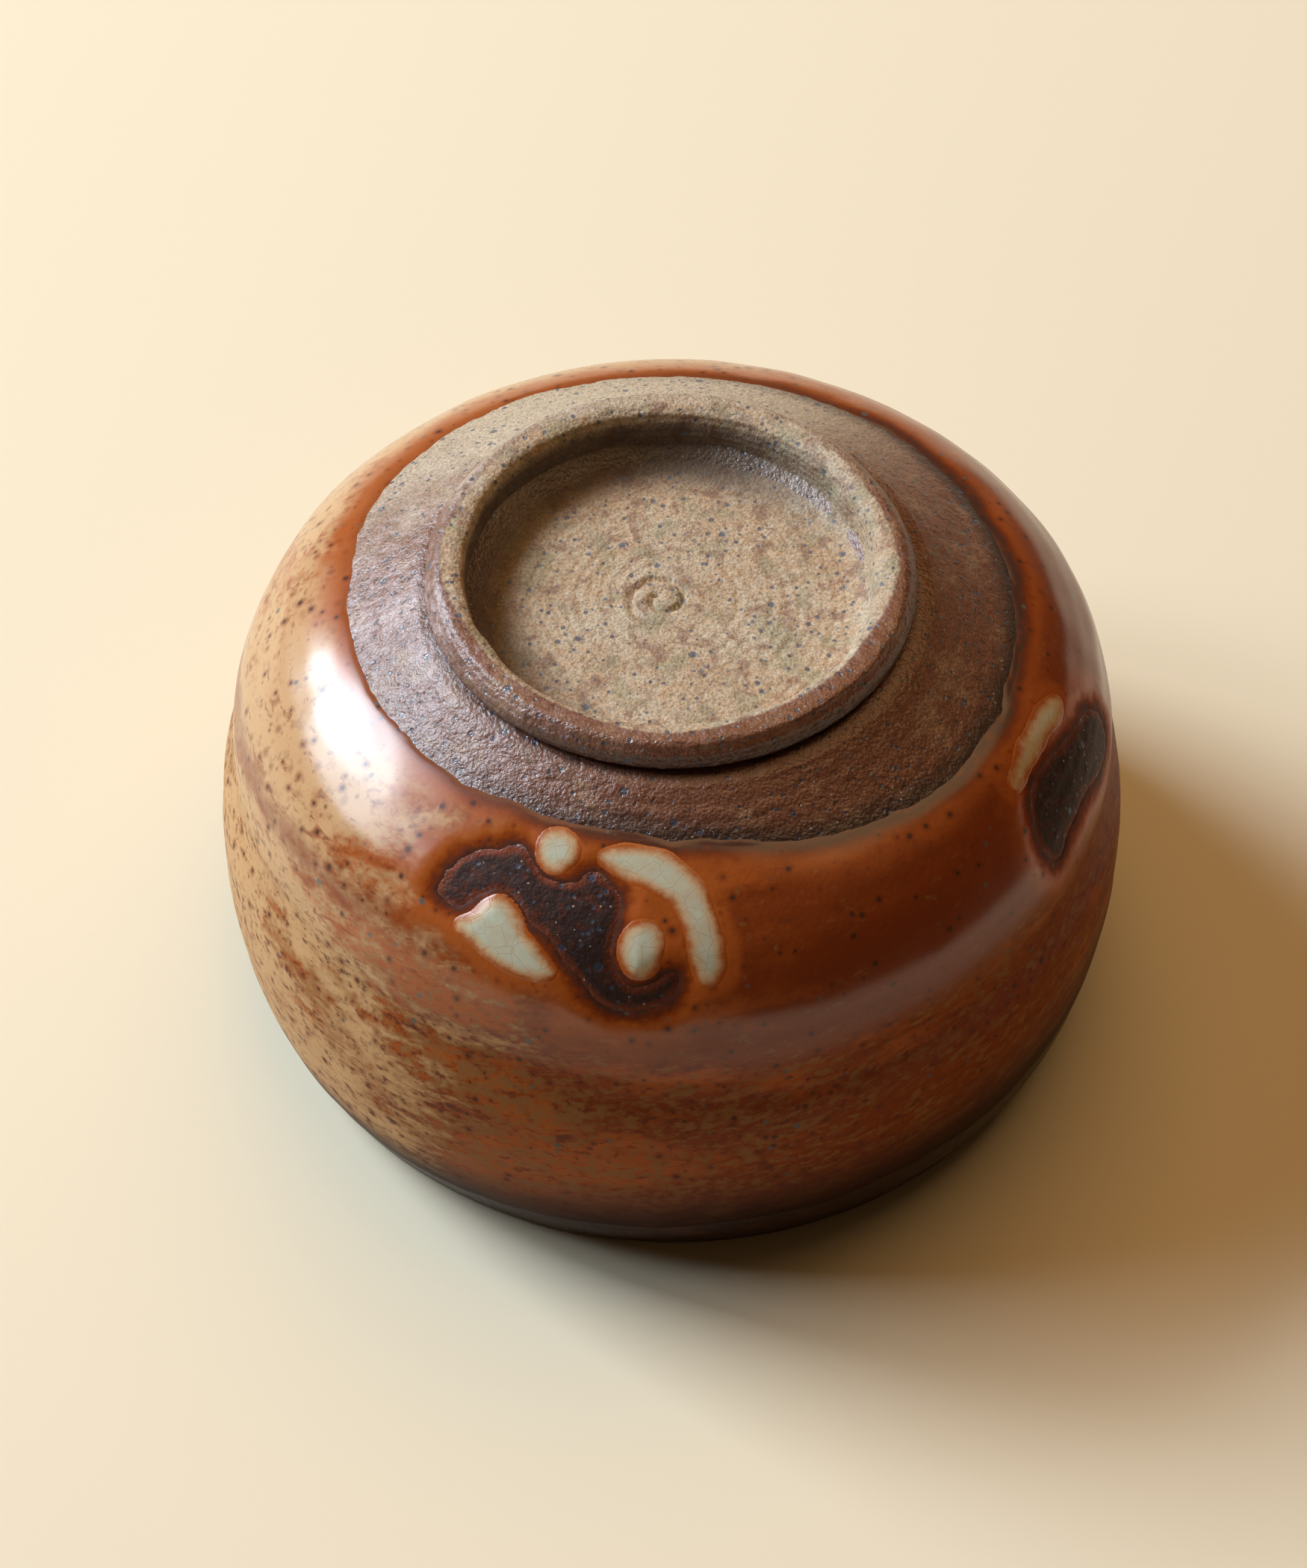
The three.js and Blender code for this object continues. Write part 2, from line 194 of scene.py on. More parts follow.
def distance_to(outline, places):
    """Signed distance from places to a closed outline: positive inside."""
    a = outline
    b = np.roll(outline, -1, axis=0)
    best = np.full(len(places), np.inf)
    inside = np.zeros(len(places), bool)
    for p, q in zip(a, b):
        edge = q - p
        length = edge @ edge
        if length < 1e-16:
            continue
        t = np.clip(((places - p) @ edge) / length, 0, 1)
        best = np.minimum(best, np.hypot(*(places - p - t[:, None] * edge).T))
        crosses = (p[1] > places[:, 1]) != (q[1] > places[:, 1])
        rise = np.where(abs(edge[1]) > 1e-12, edge[1], 1e-12)
        inside ^= crosses & (places[:, 0] < p[0] + (places[:, 1] - p[1]) * edge[0] / rise)
    return np.where(inside, best, -best)


# ---------------------------------------------------------------- the form, read from the frame


def vertices_of(node):
    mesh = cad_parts[node].data
    co = np.empty(len(mesh.vertices) * 3)
    mesh.vertices.foreach_get("co", co)
    return co.reshape(-1, 3)


def clay_section():
    """The clay's section at the front, from the middle of the inside floor round the lip to the foot."""
    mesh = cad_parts["bowl_body"].data
    co = vertices_of("bowl_body")
    near = 0.02 * MM
    key = [tuple(np.round(point / near).astype(int)) for point in co]
    flat = (abs(co[:, 0]) < near) & (co[:, 1] < near)
    links = {}
    for edge in mesh.edges:
        i, j = edge.vertices
        if flat[i] and flat[j] and key[i] != key[j]:
            links.setdefault(key[i], set()).add(key[j])
            links.setdefault(key[j], set()).add(key[i])
    start = min((k for k in links if abs(k[1]) <= 1), key=lambda k: k[2])
    line, here, seat = [start], start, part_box("foot_ring")[0].z - 1.0 * MM
    while True:
        ahead = [k for k in links[here] if k not in line]
        if not ahead:
            break
        here = max(ahead, key=lambda k: len(line) < 3 and -k[2])
        line.append(here)
        if len(line) > 20 and here[2] * near > seat and -here[1] * near < 33 * MM:
            break
    points = np.array(line) * near
    return np.stack([-points[:, 1], points[:, 2]], 1)


class Meridian:
    """The line over the clay, measured from the middle of the inside floor."""

    def __init__(self, section):
        line = through(section, 3000)
        tangent = np.gradient(line, axis=0)
        tangent /= np.hypot(*tangent.T)[:, None]
        self.s = np.r_[0, np.cumsum(np.hypot(*np.diff(line, axis=0).T))]
        self.r, self.z = line.T
        self.nr, self.nz = tangent[:, 1], -tangent[:, 0]
        self.lip = self.s[np.argmin(self.z)]
        self.end = self.s[-1]

    def at(self, s, lift):
        read = lambda line: np.interp(s, self.s, line)
        return read(self.r) + lift * read(self.nr), read(self.z) + lift * read(self.nz)

    def outside_at(self, z):
        """The distance at which the outside wall reaches height z."""
        out = self.s > self.lip
        return np.interp(z, self.z[out], self.s[out])

    def below(self, points):
        """The distance of the place on the outside wall that lies nearest to each point."""
        out = self.s > self.lip
        r = np.hypot(points[:, 0], points[:, 1])[:, None]
        apart = np.hypot(r - self.r[out], points[:, 2][:, None] - self.z[out])
        return self.s[out][apart.argmin(1)]


meridian = Meridian(clay_section())


def wall_edge(node, highest):
    """How far along the meridian a glaze's edge lies, at any bearing."""
    co = vertices_of(node)
    turn = np.arctan2(co[:, 0], -co[:, 1])
    sides = 40
    pitch = 2 * np.pi / sides
    along = meridian.below(co)
    s = []
    for side in range(sides):
        apart = np.abs((turn - side * pitch + np.pi) % (2 * np.pi) - np.pi)
        here = along[apart < 0.1 * pitch]
        s.append(here.max() if highest else here.min())
    s = np.array(s)
    ring = np.arange(sides + 1) * pitch
    fine = np.linspace(0, 2 * np.pi, 361)
    smooth = np.interp(fine, ring, np.r_[s, s[0]])[:-1]
    kernel = np.hanning(15) / np.hanning(15).sum()
    smooth = np.convolve(np.r_[smooth[-14:], smooth, smooth[:14]], kernel, "same")[14:-14]
    return lambda b: np.interp(b % (2 * np.pi), fine, np.r_[smooth, smooth[0]])


glaze_line = wall_edge("outer_glaze", True)
band_line = wall_edge("outer_glaze", False)


def place(b, s, lift):
    """Points at bearing b and distance s along the meridian, lifted off the clay."""
    r, z = meridian.at(s, lift)
    return np.stack([r * np.sin(b), -r * np.cos(b), z], 1)


def body_drift(b, s):
    """The slight unevenness of the thrown wall, which all its coats share."""
    outside = s > meridian.lip
    base = place(b, s, 0)
    wall = smoothstep(base[:, 2], 3 * MM, 12 * MM) * smoothstep(meridian.end - s, 6 * MM, 26 * MM)
    rings = np.sin(s / (1.05 * MM) + 1.5 * lattice_noise(base, 30 * MM, 3))
    rings += 0.7 * np.sin(s / (0.62 * MM) + 2.0 * np.cos(b))
    strength = bpy.context.scene.tea_bowl_glaze.throwing * (0.6 + 0.4 * lattice_noise(base, 18 * MM, 5))
    ovality = 0.22 * MM * np.cos(2 * b + 0.6) + 0.12 * MM * np.cos(3 * b)
    dents = 0.18 * MM * lattice_noise(base, 16 * MM, 7)
    waist = meridian.end - 37 * MM
    filled = 1.3 * MM * np.exp(-((s - waist) / (9 * MM)) ** 2)
    return np.where(outside, wall * (rings * strength * 0.5 + dents + ovality + filled), 0)


def surface(b, s, lift):
    return place(b, s, lift + body_drift(b, s))


class Mark:
    """A place on the wall where fingers kept the glaze off, with its own across and along directions."""

    def __init__(self, bearing, from_foot):
        b = math.radians(bearing)
        s = meridian.end - from_foot * MM
        here, ahead = (place(np.array([b]), np.array([x]), SEAM + COAT)[0] for x in (s, s + 0.5 * MM))
        self.centre = here
        self.across = np.array([math.cos(b), math.sin(b), 0])
        self.along = (ahead - here) / np.linalg.norm(ahead - here)

    def flat(self, points):
        apart = points - self.centre
        flat = np.stack([apart @ self.across, apart @ self.along], 1)
        near = np.linalg.norm(apart, axis=1) < 34 * MM
        return flat, near


front_mark = Mark(-13, 18.8)
side_mark = Mark(71, 28.5)

# Outlines in millimetres: across the wall to the right, and along it towards the foot.
FRONT_WINDOW = closed_outline([
    (-18.4, 1.3), (-17.4, 4.8), (-14.6, 7.2), (-11.5, 8.0), (-9.5, 8.8), (-7.7, 7.3), (-4.5, 5.6),
    (-2.1, 5.5), (0.6, 7.2), (3.4, 6.0), (4.5, 4.0), (4.6, 0.5), (4.9, -2.8), (7.0, -5.2), (9.2, -4.9),
    (11.6, -2.9), (12.9, -2.9), (13.4, -4.6), (12.0, -7.0), (8.8, -8.5), (4.8, -8.7), (1.6, -6.8),
    (-1.1, -3.9), (-3.6, -1.4), (-6.4, -0.2), (-8.5, 2.1), (-10.8, 3.2), (-12.8, 1.9), (-15.6, -0.2)])
CRESCENT = closed_outline([
    (1.2, 9.2), (2.6, 10.5), (5.2, 11.1), (8.0, 10.9), (10.9, 9.6), (13.0, 8.0), (15.0, 5.4), (16.6, 2.4),
    (17.6, -0.6), (17.1, -2.8), (15.6, -2.7), (14.7, -1.0), (13.8, 1.6), (12.6, 3.9), (10.6, 5.9), (7.9, 7.0),
    (4.4, 7.9)])
LEFT_POOL = closed_outline([
    (-15.0, -2.3), (-13.4, -1.0), (-12.0, 0.5), (-10.4, 1.6), (-8.9, 0.8), (-7.9, -0.4), (-5.4, -2.8),
    (-3.2, -4.6), (-2.4, -5.8), (-4.2, -6.4), (-7.6, -6.1), (-9.8, -5.2), (-12.2, -3.8)])
SIDE_WINDOW = closed_outline([
    (12.5, -3.4), (12.8, 1.6), (9.6, 4.4), (6.0, 5.3), (2.0, 6.5), (-2.0, 7.6), (-5.7, 8.0), (-8.4, 6.9),
    (-10.6, 4.8), (-11.8, 1.4), (-10.6, -1.9), (-8.6, -2.8), (-5.4, -1.4), (-1.2, -1.4), (3.0, -2.2),
    (8.0, -4.0)])
SIDE_RUN = closed_outline([
    (6.8, 9.2), (4.4, 10.6), (1.2, 11.0), (-1.9, 11.0), (-4.9, 10.9), (-7.9, 10.5), (-8.8, 9.8), (-7.6, 9.4),
    (-4.9, 9.6), (-1.9, 9.6), (1.2, 9.4), (4.4, 8.8)])
WINDOWS = [(front_mark, FRONT_WINDOW), (side_mark, SIDE_WINDOW)]
POOLS = {
    "crescent_glaze_pool": (front_mark, CRESCENT),
    "upper_glaze_drop": (front_mark, oval(-4.6, 9.1, 2.2, 2.1)),
    "round_glaze_drop": (front_mark, oval(8.0, -0.8, 2.2, 3.0)),
    "left_glaze_pool": (front_mark, LEFT_POOL),
    "side_glaze_run": (side_mark, SIDE_RUN),
}
POOL_SPREAD = 0.8 * MM  # how far the pale glaze ran out past the solid that stands for it
FAR = 30 * MM  # stands for any place that is too far off to matter


def nearest(shapes, points):
    """Signed distance to the nearest of some marks' outlines: positive inside one."""
    best = np.full(len(points), -FAR)
    for mark, outline in shapes:
        flat, near = mark.flat(points)
        if near.any():
            best[near] = np.maximum(best[near], distance_to(outline, flat[near]))
    return best


def wander(points, cell, height, seed):
    """Two sizes of noise, for an edge that wanders."""
    fine = 0.4
    return height * (lattice_noise(points, cell, seed) + fine * lattice_noise(points, cell * fine, seed + 1))


def window_distance(points):
    """How far a point lies inside a bare window, with the ragged edge that the glaze has."""
    return nearest(WINDOWS, points) + wander(points, 2.2 * MM, 0.35 * MM, 11)


def pool_distance(points):
    return nearest(POOLS.values(), points) + wander(points, 3.0 * MM, 0.25 * MM, 13) + POOL_SPREAD


def foot_edge_distance(b, s, points):
    """How far a point lies inside the coat, measured from the wavy line that it stops at near the foot."""
    return glaze_line(b) - s + wander(points, 5 * MM, 0.5 * MM, 17)


def coat_lift(b, s, window):
    """How high the coat's surface stands off the clay: it thins out at the foot and at the finger marks."""
    foot = np.maximum(glaze_line(b) - s, 0)
    thin = 0.08 * MM
    thick = thin + (COAT - thin) * (1 - np.exp(-foot / (2.6 * MM)))
    return SEAM * 0.8 + thick - 0.42 * MM * smoothstep(window, 3.2 * MM, 0)


def stripe_distance(b, s):
    """Distance from the rust line that rings the shoulder, higher at the front than at the sides."""
    from_foot = (24 + 7 * (1 - np.cos(b - 0.09))) * MM
    return np.abs(meridian.end - from_foot - s)


# ---------------------------------------------------------------- meshes


def new_piece(name, points, faces, numbers, material, nodes):
    """A smooth mesh object that rides on the bowl and stands for CAD nodes."""
    mesh = bpy.data.meshes.new(name)
    mesh.vertices.add(len(points))
    mesh.vertices.foreach_set("co", points.astype(np.float32).ravel())
    mesh.loops.add(faces.size)
    mesh.loops.foreach_set("vertex_index", faces.astype(np.int32).ravel())
    mesh.polygons.add(len(faces))
    mesh.polygons.foreach_set("loop_start", np.arange(0, faces.size, faces.shape[1], dtype=np.int32))
    mesh.update(calc_edges=True)
    mesh.validate()
    mesh.polygons.foreach_set("use_smooth", np.ones(len(mesh.polygons), bool))
    for key, values in numbers.items():
        layer = mesh.attributes.new(key, "FLOAT", "POINT")
        layer.data.foreach_set("value", values.astype(np.float32))
    mesh.materials.append(material)
    piece = bpy.data.objects.new(name, mesh)
    bpy.context.scene.collection.objects.link(piece)
    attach(piece, BODY)
    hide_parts(*nodes)
    return piece


def ring_grid(rows, bearings):
    """Bearings, row numbers and four-cornered faces of a grid that closes round the axis."""
    b = np.arange(bearings) * 2 * np.pi / bearings
    i = np.arange(rows - 1)[:, None] * bearings + np.arange(bearings)
    j = np.arange(rows - 1)[:, None] * bearings + (np.arange(bearings) + 1) % bearings
    faces = np.stack([i, j, j + bearings, i + bearings], -1).reshape(-1, 4)
    return np.tile(b, rows), np.repeat(np.arange(rows), bearings), faces


def trimmed(points, faces, numbers, keep):
    """The grid without the faces that have no kept corner."""
    faces = faces[keep[faces].any(1)]
    used = np.zeros(len(points), bool)
    used[faces] = True
    ids = np.cumsum(used) - 1
    return points[used], ids[faces], {key: values[used] for key, values in numbers.items()}


# ---------------------------------------------------------------- shaders


class Value:
    """A shader socket; arithmetic on it adds Math nodes."""

    def __init__(self, shader, socket):
        self.shader, self.socket = shader, socket

    def math(self, operation, *values):
        return self.shader.out("ShaderNodeMath", {"operation": operation}, list(values))

    def __add__(self, other):
        return self.math("ADD", self, other)

    def __sub__(self, other):
        return self.math("SUBTRACT", self, other)

    def __rsub__(self, other):
        return self.math("SUBTRACT", other, self)

    def __mul__(self, other):
        return self.math("MULTIPLY", self, other)

    def __truediv__(self, other):
        return self.math("DIVIDE", self, other)

    __radd__, __rmul__ = __add__, __mul__

    def most(self, other):
        return self.math("MAXIMUM", self, other)

    def least(self, other):
        return self.math("MINIMUM", self, other)

    def clamped(self):
        return self.most(0).least(1)

    def step(self, low, high):
        """0 below low, 1 above high, and smooth between; falling if high is below low."""
        if high < low:
            return 1 - self.step(high, low)
        return self.shader.out(
            "ShaderNodeMapRange", {"interpolation_type": "SMOOTHSTEP"}, [self, low, high, 0.0, 1.0])


class Shader:
    """One material, built node by node."""

    def __init__(self, name):
        self.material = bpy.data.materials.new(name)
        self.material.use_nodes = True
        self.tree = self.material.node_tree
        self.tree.nodes.clear()
        place_in_mm = {"operation": "MULTIPLY"}
        spot = self.node("ShaderNodeTexCoord", {}, {}).outputs["Object"]
        self.spot = self.out("ShaderNodeVectorMath", place_in_mm, [spot, (1000, 1000, 1000)])

    def node(self, kind, settings, values):
        made = self.tree.nodes.new(kind)
        for key, setting in settings.items():
            setattr(made, key, setting)
        pairs = values.items() if isinstance(values, dict) else enumerate(values)
        for key, value in pairs:
            socket = made.inputs[key]
            source = value.socket if isinstance(value, Value) else value
            if isinstance(source, bpy.types.NodeSocket):
                self.tree.links.new(source, socket)
            elif hasattr(source, "__len__") and len(socket.default_value) == 4:
                socket.default_value = (*source, 1)
            else:
                socket.default_value = source
        return made

    def out(self, kind, settings, values, output=0):
        return Value(self, self.node(kind, settings, values).outputs[output])

    def number(self, name):
        return self.out("ShaderNodeAttribute", {"attribute_name": name}, {}, "Fac")

    def stretched(self, x, y, z, by=(0, 0, 0)):
        scaled = self.out("ShaderNodeVectorMath", {"operation": "MULTIPLY"}, [self.spot, (x, y, z)])
        return self.out("ShaderNodeVectorMath", {"operation": "ADD"}, [scaled, by])

    def noise(self, cell, detail=2.0, rough=0.5, at=None, bend=0.0):
        values = {"Vector": at or self.spot, "Scale": 1 / cell, "Detail": detail,
                  "Roughness": rough, "Distortion": bend}
        return self.out("ShaderNodeTexNoise", {}, values)

    def spots(self, cell, radius, amount, soft, by=(0, 0, 0)):
        """Round spots of about that radius, in that share of the cells, with an edge that wide."""
        values = {"Vector": self.stretched(1, 1, 1, by), "Scale": 1 / cell}
        cells = self.node("ShaderNodeTexVoronoi", {"feature": "F1"}, values)
        away = Value(self, cells.outputs["Distance"]) * cell
        chance = self.node("ShaderNodeSeparateColor", {}, [cells.outputs["Color"]])
        red, green = (Value(self, chance.outputs[i]) for i in (0, 1))
        edge = away - radius * (green + 0.35)
        return edge.step(soft, -soft) * red.step(amount + 0.02, amount - 0.02)

    def parts(self, vector):
        split = self.node("ShaderNodeSeparateXYZ", {}, [vector]).outputs
        return [Value(self, split[i]) for i in range(3)]

    def leaning(self):
        """From -1 at the back left of the bowl to 1 at its front right."""
        x, y, _ = self.parts(self.spot)
        return (x * 0.9 - y * 0.5) / 58

    def grains(self, cell):
        """Sand grains: a rounded lump in every cell."""
        values = {"Vector": self.spot, "Scale": 1 / cell, "Smoothness": 0.35}
        return 1 - self.out("ShaderNodeTexVoronoi", {"feature": "SMOOTH_F1"}, values)

    def mix(self, factor, a, b):
        values = {0: factor, 6: a, 7: b}
        return self.out("ShaderNodeMix", {"data_type": "RGBA"}, values, 2)

    def bump(self, height, depth, strength):
        return self.out("ShaderNodeBump", {}, {"Strength": strength, "Distance": depth, "Height": height})

    def finish(self, **values):
        named = {key.replace("_", " "): value for key, value in values.items()}
        surface_shader = self.out("ShaderNodeBsdfPrincipled", {}, named)
        self.node("ShaderNodeOutputMaterial", {}, {"Surface": surface_shader})
        return self.material


def clay_shader(name):
    """Bare fired clay: brown skin outside, ochre inside the foot, with iron specks and sand grains."""
    tint = bpy.context.scene.tea_bowl_clay
    rust = bpy.context.scene.tea_bowl_glaze.rust
    m = Shader(name)
    broad = m.noise(11, 3, 0.6)
    fine = m.noise(1.4, 3, 0.65)
    grain = m.noise(0.36, 2, 0.6)
    sand = m.grains(0.62)
    _, y, _ = m.parts(m.spot)
    far = (y + (broad - 0.5) * 30).step(0, 36)
    # Painted sheen: towards the back left the brown clay is mixed towards lilac, standing in for the window
    # light's sheen.
    left = m.leaning().step(0.25, -0.6)
    brown = m.mix((broad * 0.6 + fine * 0.6).step(0.50, 0.85) * left, tint.brown, tint.painted_sheen)
    brown = m.mix(fine.step(0.44, 0.30) * 0.7, brown, tint.dark)
    patches = m.noise(6, 3, 0.6).step(0.52, 0.70)
    brown = m.mix(patches * 0.35, brown, tint.ochre)
    # Paler towards the back left: partly sandy clay, partly painted light where the window light grazes the
    # clay.
    brown = m.mix(far * m.leaning().step(0.45, -0.25) * 0.9, brown, tint.sand)
    ochre = m.mix((broad * 0.5 + fine * 0.6).step(0.42, 0.72), tint.ochre, tint.sand)
    ochre = m.mix(m.noise(3.2, 3, 0.6, bend=0.6).step(0.50, 0.66) * 0.6, ochre, tint.brown)
    ash = m.noise(5, 2, 0.5, m.stretched(1, 1, 1, (40, 9, 0))).step(0.5, 0.66)
    ochre = m.mix(ash * 0.6, ochre, tint.olive)
    inside = m.number("inside")
    edge = m.number("edge")
    window = m.number("window") + (fine - 0.5) * 1.2
    skin = m.mix((inside + (fine - 0.5) * 0.5).step(0.3, 0.7), brown, ochre)
    dark = m.leaning().step(-0.7, 0.5)
    skin = m.mix((edge + (fine - 0.5) * 1.6).step(3.8, 0.4) * dark * 0.95, skin, tint.dark)
    skin = m.mix(window.step(-0.6, 0.6), skin, rust)
    skin = m.mix(window.step(0.2, 1.3) * (1 - fine.step(0.5, 0.7) * 0.5), skin, tint.dark)
    skin = m.mix(grain.step(0.60, 0.36) * 0.42, skin, tint.dark)
    # Painted shade: darkens the clay in the foot well's back left corner and at the foot ring's front root.
    skin = m.mix(m.number("painted_shade") * 0.75, skin, tint.dark)
    fleck = m.spots(1.25, 0.25, 0.9, 0.10).most(m.spots(3.0, 0.42, 0.8, 0.16, (7, 3, 5)))
    skin = m.mix(fleck * 0.88, skin, tint.iron)
    # Pale spots: partly pale sand grains, partly painted glints that stand in for the sparkle of the grains.
    glint_spots = m.spots(1.1, 0.12, 0.5, 0.05, (3, 11, 2))
    skin = m.mix(glint_spots * 0.5, skin, tint.sand)
    dull = window.step(-0.5, 0.5)
    rough = 0.40 + inside * 0.38 + dull * 0.22 - fleck * 0.16 + (grain - 0.5) * 0.2
    calm = 1 - dull * 0.5
    height = sand * 0.35 + grain * 0.7 + m.noise(1.1, 2, 0.5) * 0.7 - fleck * 0.25 + glint_spots * 0.35
    lumps = m.bump(height * calm, 0.00022, 0.9)
    return m.finish(Base_Color=skin, Roughness=rough.clamped(), Metallic=dull * 0.75, Normal=lumps,
                    Specular_IOR_Level=0.95)


def coat_shader():
    """The red feldspar glaze: cream where thick, orange and rust where thin, with iron specks; towards the
    front right it is shifted to rust as painted shade.
    """
    tint = bpy.context.scene.tea_bowl_glaze
    m = Shader("red_glaze")
    drawn = m.stretched(1, 1, 2.4)
    x, y, z = m.parts(m.spot)
    slant = m.out("ShaderNodeCombineXYZ", {}, [x, y, z * 4.0 - x * 0.9])
    broad = m.noise(26, 2, 0.5, drawn)
    cloud = m.noise(7.5, 4, 0.6, drawn, 0.5)
    streak = m.noise(7, 5, 0.68, slant, 0.6)
    wisps = m.noise(3.0, 4, 0.65, slant, 0.4)
    mottle = m.noise(1.7, 3, 0.65, m.stretched(1, 1, 1.6))
    fine = m.noise(1.1, 3, 0.6)
    lean = m.leaning()
    low = z.step(50, 38)
    # Painted shade: towards the front right, the shade side, the glaze loses cream and gains tan and rust, on
    # top of its own mottling. Lower down it also loses cream and gains tan.
    cream = broad * 0.5 + cloud * 0.4 + streak * 0.3 + (mottle - 0.5) * 0.2
    cream = (cream - lean.most(-0.55) * 0.30 - low * 0.05).step(0.54, 0.74)
    tan = cloud * 0.3 + streak * 0.3 + wisps * 0.5 + (mottle - 0.5) * 0.6 + low * 0.10 - lean * 0.08
    # Rust where the glaze is thin, and more of it towards the front right as painted shade.
    thin = (broad + (cloud - 0.5) * 0.7 + lean * 0.20).step(0.40, 0.62)
    skin = m.mix(thin * 0.85, tint.orange, tint.rust)
    skin = m.mix(tan.step(0.56, 0.70) * 0.9, skin, tint.tan)
    skin = m.mix(cream * 0.92, skin, tint.cream)
    skin = m.mix(wisps.step(0.44, 0.32) * 0.6, skin, tint.rust)
    skin = m.mix((mottle * 0.7 + streak * 0.3).step(0.46, 0.36) * (0.25 + low * 0.5), skin, tint.umber)
    stripe = m.number("stripe") + (cloud - 0.5) * 6 + (mottle - 0.5) * 3
    skin = m.mix(stripe.step(3.4, 0.2) * 0.6, skin, tint.rust)
    edge = m.number("edge") + (fine - 0.5) * 0.8
    skin = m.mix((edge + (cloud - 0.5) * 5).step(6.5, 1.5) * 0.9, skin, tint.orange)
    pool = m.number("pool") + (fine - 0.5) * 0.6
    skin = m.mix(pool.step(2.2, 0.8) * 0.9, skin, tint.orange)
    window = m.number("window") + (fine - 0.5) * 1.2 + (mottle - 0.5) * 1.4
    skin = m.mix(window.step(3.4, 1.4) * 0.9, skin, tint.orange)
    skin = m.mix(window.step(2.2, 0.6), skin, tint.rust)
    skin = m.mix(window.step(1.2, -0.1), skin, tint.umber)
    foot = m.number("foot") + (fine - 0.5) * 0.6
    dark = lean.step(-0.9, 0.5)
    skin = m.mix((foot - dark * 1.3).step(1.8, 0.0) * (0.3 + dark * 0.7), skin, tint.rust)
    skin = m.mix((foot - dark * 1.0).step(1.0, -0.4) * dark, skin, tint.umber)
    halo = m.spots(2.0, 0.60, 0.7, 0.40, (1, 2, 3)).most(m.spots(1.5, 0.26, 0.5, 0.2, (9, 4, 1)))
    skin = m.mix(halo * 0.6, skin, tint.rust)
    fleck = m.spots(2.0, 0.30, 0.7, 0.14, (1, 2, 3))
    skin = m.mix(fleck * 0.85, skin, tint.speck)
    slate = m.spots(3.3, 0.38, 0.6, 0.18, (2, 8, 6))
    skin = m.mix(slate * 0.85, skin, tint.slate)
    band = m.number("band") + (cloud - 0.5) * 5 + (fine - 0.5)
    # The iron lip's umber and near-black reach further up the wall towards the front right: the iron band is
    # real, and its widening there is painted shade.
    reach = 1 + lean.step(-0.6, 0.9) * 0.9
    skin = m.mix((band / reach).step(8.0, 2.0) * 0.75, skin, tint.umber)
    skin = m.mix((band / reach).step(4.6, -0.4), skin, tint.lip)
    height = m.noise(0.75, 2, 0.5) * 0.8 + fine * 0.3 - m.spots(4.6, 0.16, 0.4, 0.06, (4, 4, 4)) * 1.2
    skin_bump = m.bump(height, 0.00008, 0.8)
    gloss = (1 - low * 0.93) * (1 - window.step(3.2, 0.8) * 0.97) * (1 - band.step(9, 2) * 0.8)
    return m.finish(Base_Color=skin, Roughness=0.45, Normal=skin_bump, Specular_IOR_Level=0.04,
                    Coat_Weight=gloss.clamped(), Coat_Roughness=0.24, Coat_IOR=1.55)


def pool_shader():
    """Thick pale glaze, finely crazed, warm where it thins out at its edge."""
    tint = bpy.context.scene.tea_bowl_glaze
    m = Shader("pale_glaze")
    fine = m.noise(1.2, 3, 0.6)
    cloud = m.noise(3.5, 3, 0.6)
    inside = m.number("inside") + (fine - 0.5) * 1.1 + (cloud - 0.5) * 1.1
    scales = {"Vector": m.spot, "Scale": 1 / 2.3}
    cracks = m.out("ShaderNodeTexVoronoi", {"feature": "DISTANCE_TO_EDGE"}, scales)
    skin = m.mix(cloud.step(0.35, 0.7) * 0.35, tint.pool, tint.cream)
    skin = m.mix(inside.step(2.0, 0.8) * 0.8, skin, tint.cream)
    skin = m.mix(inside.step(1.2, 0.1), skin, tint.orange)
    skin = m.mix(cracks.step(0.03, 0.0) * inside.step(0.3, 0.9) * 0.25, skin, tint.orange)
    skin_bump = m.bump(m.noise(0.9, 2, 0.5) - cracks.step(0.03, 0.0) * 0.3, 0.00005, 0.6)
    return m.finish(Base_Color=skin, Roughness=0.2 + fine * 0.08, Normal=skin_bump, Specular_IOR_Level=0.55)


def lip_shader():
    """Iron glaze: nearly black, breaking to rust at its upper edge and on the lip itself."""
    tint = bpy.context.scene.tea_bowl_glaze
    m = Shader("iron_glaze")
    cloud = m.noise(5, 4, 0.6, m.stretched(1, 1, 2.5))
    fine = m.noise(1.0, 3, 0.6)
    skin = m.mix(cloud.step(0.5, 0.7) * 0.6, tint.lip, tint.umber)
    skin = m.mix(m.number("rim") * 0.4 * fine.step(0.4, 0.6), skin, tint.rust)
    skin = m.mix(m.spots(3.0, 0.3, 0.4, 0.12) * 0.6, skin, tint.speck)
    skin_bump = m.bump(m.noise(0.8, 2, 0.5) + fine * 0.4, 0.00008, 0.8)
    return m.finish(Base_Color=skin, Roughness=0.36 + (fine - 0.5) * 0.2, Normal=skin_bump,
                    Specular_IOR_Level=0.15)


